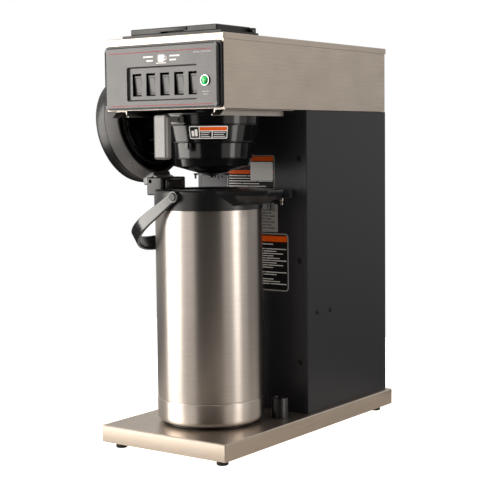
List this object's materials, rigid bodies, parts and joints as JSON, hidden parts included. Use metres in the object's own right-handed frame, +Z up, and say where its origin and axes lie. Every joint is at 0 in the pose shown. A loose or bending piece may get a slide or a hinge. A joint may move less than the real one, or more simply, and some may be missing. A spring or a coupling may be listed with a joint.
{
  "type": "commercial coffee brewer",
  "caption": "Narrow pour-in coffee brewer with a sliding brew funnel, a row of rocker switches and a thermal airpot standing on its base.",
  "frame": {"origin": "on the surface the feet stand on, under the middle of the whole object's bounding box", "axes": "+Z up, -Y the front with the switches, +X to the right of someone facing the brewer"},
  "size_m": [0.289, 0.4746, 0.6145],
  "materials": {
    "brushed_stainless": "brushed",
    "airpot_stainless": "brushed",
    "black_powder_coat": "satin",
    "black_plastic": "gloss",
    "black_rubber": "matte",
    "grey_plastic": "satin",
    "light_grey_plastic": "satin",
    "chrome_plate": "polished",
    "green_lens": "gloss",
    "circuit_board": "satin"
  },
  "bodies": {
    "brewer": {"airpot_post_left": "black_plastic", "airpot_post_right": "black_plastic", "base_tray": "brushed_stainless", "bracket_pin": "brushed_stainless", "cord_gland": "black_plastic", "fill_basin": "black_plastic", "fill_frame": "black_plastic", "fill_lid_pin": "brushed_stainless", "fill_tube": "black_plastic", "foot_front_left": "black_rubber", "foot_front_right": "black_rubber", "foot_rear_left": "black_rubber", "foot_rear_right": "black_rubber", "funnel_rail_left": "brushed_stainless", "funnel_rail_right": "brushed_stainless", "hood_floor": "black_powder_coat", "hood_lid": "brushed_stainless", "hood_shell": "brushed_stainless", "lamp_bezel": "chrome_plate", "lamp_lens": "green_lens", "panel_bezel": "grey_plastic", "panel_frame": "black_plastic", "spray_tube": "brushed_stainless", "sprayhead": "black_plastic", "switch_housing": "black_plastic", "tank_heater": "brushed_stainless", "tank_lid": "brushed_stainless", "terminal_block": "black_plastic", "thermostat": "black_plastic", "timer_board": "circuit_board", "trunk_bracket": "black_powder_coat", "trunk_front_wall": "black_powder_coat", "trunk_left_cover": "black_powder_coat", "trunk_rear_cover": "black_powder_coat", "trunk_right_cover": "black_powder_coat", "water_tank": "brushed_stainless"},
    "funnel": {"brew_funnel": "black_plastic", "funnel_guard": "black_plastic", "funnel_handle": "light_grey_plastic"},
    "airpot": {"airpot_base": "black_plastic", "airpot_shell": "airpot_stainless", "airpot_liner": "brushed_stainless", "airpot_collar": "black_plastic", "airpot_spout": "black_plastic", "siphon_tube": "brushed_stainless", "bail_pin_near": "brushed_stainless", "bail_pin_far": "brushed_stainless", "lid_hinge_pin": "brushed_stainless"},
    "bail": {"bail_handle": "black_plastic"},
    "airpot_lid": {"airpot_lid": "black_plastic", "lid_rim": "light_grey_plastic", "lid_stopper": "black_plastic", "lid_gasket": "black_rubber"},
    "pump": {"pump_button": "black_plastic"},
    "fill_lid": {"fill_lid": "black_plastic"},
    "rocker_1": {"rocker_switch_1": "grey_plastic"},
    "rocker_2": {"rocker_switch_2": "grey_plastic"},
    "rocker_3": {"rocker_switch_3": "grey_plastic"},
    "rocker_4": {"rocker_switch_4": "grey_plastic"},
    "rocker_5": {"rocker_switch_5": "grey_plastic"}
  },
  "joints": [
    {"name": "funnel_slide", "type": "slide", "parent": "brewer", "child": "funnel", "axis": [0, -1, 0], "range_m": [0, 0.12]},
    {"name": "airpot_slide", "type": "slide", "parent": "brewer", "child": "airpot", "axis": [0, -1, 0], "range_m": [0, 0.11]},
    {"name": "bail_swing", "type": "hinge", "parent": "airpot", "child": "bail", "pos_m": [0.02602, -0.11825, 0.3735], "axis": [0, 1, 0], "range_deg": [0, 30]},
    {"name": "airpot_lid_hinge", "type": "hinge", "parent": "airpot", "child": "airpot_lid", "pos_m": [-0.06498, -0.11825, 0.393], "axis": [0, 1, 0], "range_deg": [0, 3]},
    {"name": "pump_press", "type": "slide", "parent": "airpot_lid", "child": "pump", "axis": [0.9781, 0, 0.2079], "range_m": [0, 0.012], "stiffness_N_per_m": 300},
    {"name": "fill_lid_hinge", "type": "hinge", "parent": "brewer", "child": "fill_lid", "pos_m": [0.02302, -0.11825, 0.609], "axis": [-1, 0, 0], "range_deg": [0, 105]},
    {"name": "rocker_1_rock", "type": "hinge", "parent": "brewer", "child": "rocker_1", "pos_m": [-0.02128, -0.21475, 0.533], "axis": [-1, 0, 0], "range_deg": [0, 10]},
    {"name": "rocker_2_rock", "type": "hinge", "parent": "brewer", "child": "rocker_2", "pos_m": [0.00412, -0.21475, 0.533], "axis": [-1, 0, 0], "range_deg": [0, 10]},
    {"name": "rocker_3_rock", "type": "hinge", "parent": "brewer", "child": "rocker_3", "pos_m": [0.02952, -0.21475, 0.533], "axis": [-1, 0, 0], "range_deg": [0, 10]},
    {"name": "rocker_4_rock", "type": "hinge", "parent": "brewer", "child": "rocker_4", "pos_m": [0.05492, -0.21475, 0.533], "axis": [-1, 0, 0], "range_deg": [0, 10]},
    {"name": "rocker_5_rock", "type": "hinge", "parent": "brewer", "child": "rocker_5", "pos_m": [0.08032, -0.21475, 0.533], "axis": [-1, 0, 0], "range_deg": [0, 10]}
  ]
}
